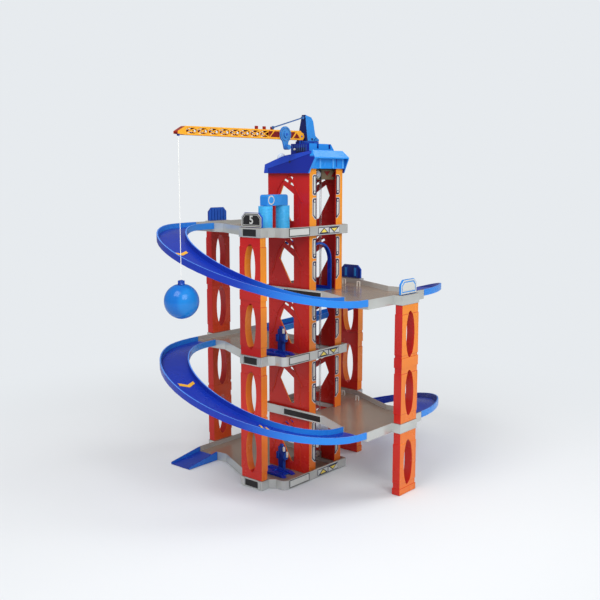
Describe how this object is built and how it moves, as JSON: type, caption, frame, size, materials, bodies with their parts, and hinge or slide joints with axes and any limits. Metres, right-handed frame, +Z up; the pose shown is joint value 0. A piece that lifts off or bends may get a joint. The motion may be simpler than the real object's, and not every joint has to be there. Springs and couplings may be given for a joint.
{
  "type": "toy parking garage with lift",
  "caption": "Tall toy parking garage with stacked decks joined by curved ramps around a lift tower, a slewing roof crane with a hanging ball, car wash and hoists.",
  "frame": {"origin": "on the floor plane, under the middle of the lift shaft", "axes": "+Z up; -Y towards the front left, where the crane's jib points; +X towards the front right, the lift's open side on the even decks"},
  "size_m": [0.508, 0.7063, 0.75],
  "materials": {
    "deck_silver": "glossy warm silver-grey moulding",
    "tower_red": "glossy red moulding, orange on the sides that face front right",
    "sign_blue": "dark blue plate with a pale border",
    "ramp_blue": "glossy blue moulding",
    "roof_blue": "glossy blue moulding",
    "clear_plastic": "clear lens",
    "crane_orange": "glossy orange moulding",
    "dark_blue": "glossy dark blue moulding",
    "light_blue": "glossy light blue moulding",
    "white_plastic": "satin white",
    "string_white": "thin white twine",
    "belt_rubber": "black rubber",
    "motor_grey": "dark grey casing",
    "lamp_panel": "brown-grey panel",
    "gloss_blue": "glossy blue moulding"
  },
  "bodies": {
    "root": {"deck_1": "deck_silver", "deck_2": "deck_silver", "deck_3": "deck_silver", "deck_4": "deck_silver", "deck_5": "deck_silver", "tower_wall_left_1": "tower_red", "tower_wall_right_1": "tower_red", "tower_wall_left_2": "tower_red", "tower_wall_right_2": "tower_red", "tower_wall_left_3": "tower_red", "tower_wall_right_3": "tower_red", "tower_wall_left_4": "tower_red", "tower_wall_right_4": "tower_red", "tower_wall_left_5": "tower_red", "tower_wall_right_5": "tower_red", "front_left_pillar_lower": "tower_red", "front_left_pillar_upper": "tower_red", "rear_left_pillar_lower": "tower_red", "rear_left_pillar_upper": "tower_red", "front_right_foot": "tower_red", "rear_right_foot": "tower_red", "front_right_pillar": "tower_red", "rear_right_pillar": "tower_red", "front_left_sign": "sign_blue", "rear_left_sign": "sign_blue", "front_right_sign": "sign_blue", "rear_right_sign": "sign_blue", "ramp_5_to_4": "ramp_blue", "ramp_4_to_3": "ramp_blue", "ramp_3_to_2": "ramp_blue", "ramp_2_to_1": "ramp_blue", "exit_ramp": "ramp_blue", "roof_shell": "roof_blue", "lift_belt": "belt_rubber", "lift_motor": "motor_grey", "lamp_housing": "lamp_panel", "lift_lamp": "clear_plastic", "wash_head": "light_blue", "hoist_column_1": "dark_blue", "hoist_column_3": "dark_blue"},
    "button": {"roof_button": "clear_plastic"},
    "crane": {"crane_turntable": "dark_blue", "crane_mast": "light_blue"},
    "jib": {"crane_jib": "crane_orange"},
    "stay": {"stay_rod": "light_blue"},
    "winch": {"winch_drum": "white_plastic", "winch_crank": "light_blue"},
    "swivel": {"string_swivel": "dark_blue"},
    "hanging": {"string": "string_white", "ball_cap": "dark_blue", "ball": "gloss_blue"},
    "cabin": {"lift_platform": "light_blue", "lift_arch": "gloss_blue"},
    "pulley_top": {"top_pulley": "white_plastic"},
    "pulley_bottom": {"bottom_pulley": "white_plastic"},
    "roller_front": {"wash_roller_front": "light_blue"},
    "roller_rear": {"wash_roller_rear": "light_blue"},
    "hoist_1": {"hoist_platform_1": "gloss_blue"},
    "hoist_3": {"hoist_platform_3": "gloss_blue"}
  },
  "joints": [
    {"name": "crane_slew", "type": "hinge", "parent": "root", "child": "crane", "pos_m": [0, 0, 0.694], "axis": [0, 0, 1], "continuous": true},
    {"name": "jib_luff", "type": "hinge", "parent": "crane", "child": "jib", "pos_m": [0, -0.018, 0.706], "axis": [-1, 0, 0], "range_deg": [0, 28]},
    {"name": "stay_swing", "type": "hinge", "parent": "crane", "child": "stay", "pos_m": [0, -0.011, 0.744], "axis": [-1, 0, 0], "range_deg": [-1, 30]},
    {"name": "winch_spin", "type": "hinge", "parent": "jib", "child": "winch", "pos_m": [0, -0.071, 0.708], "axis": [1, 0, 0], "continuous": true},
    {"name": "string_plumb", "type": "hinge", "parent": "jib", "child": "swivel", "pos_m": [0, -0.345, 0.7008], "axis": [1, 0, 0], "range_deg": [-60, 3]},
    {"name": "ball_swing", "type": "hinge", "parent": "swivel", "child": "hanging", "pos_m": [0, -0.345, 0.6957], "axis": [0, 1, 0], "range_deg": [-60, 60]},
    {"name": "lift_slide", "type": "slide", "parent": "root", "child": "cabin", "axis": [0, 0, 1], "range_m": [-0.381, 0.127]},
    {"name": "top_pulley_spin", "type": "hinge", "parent": "root", "child": "pulley_top", "pos_m": [0, 0.042, 0.633], "axis": [0, 1, 0], "range_deg": [-1100, 3250]},
    {"name": "bottom_pulley_spin", "type": "hinge", "parent": "root", "child": "pulley_bottom", "pos_m": [0, 0.042, 0.018], "axis": [0, 1, 0], "range_deg": [-1100, 3250]},
    {"name": "roller_front_spin", "type": "hinge", "parent": "root", "child": "roller_front", "pos_m": [0.002, -0.124, 0.54], "axis": [0, 0, 1], "continuous": true},
    {"name": "roller_rear_spin", "type": "hinge", "parent": "root", "child": "roller_rear", "pos_m": [0.002, -0.073, 0.54], "axis": [0, 0, 1], "continuous": true},
    {"name": "hoist_1_slide", "type": "slide", "parent": "root", "child": "hoist_1", "axis": [0, 0, 1], "range_m": [0, 0.03]},
    {"name": "hoist_3_slide", "type": "slide", "parent": "root", "child": "hoist_3", "axis": [0, 0, 1], "range_m": [0, 0.03]},
    {"name": "button_press", "type": "slide", "parent": "root", "child": "button", "axis": [0, 0, -1], "range_m": [0, 0.0025], "stiffness_N_per_m": 150, "springref_m": -0.001}
  ],
  "couplings": [
    {"joint": "stay_swing", "follows": "jib_luff", "ratio": 1.03},
    {"joint": "top_pulley_spin", "follows": "lift_slide", "rad_per_m": -147.06},
    {"joint": "bottom_pulley_spin", "follows": "lift_slide", "rad_per_m": -147.06}
  ]
}
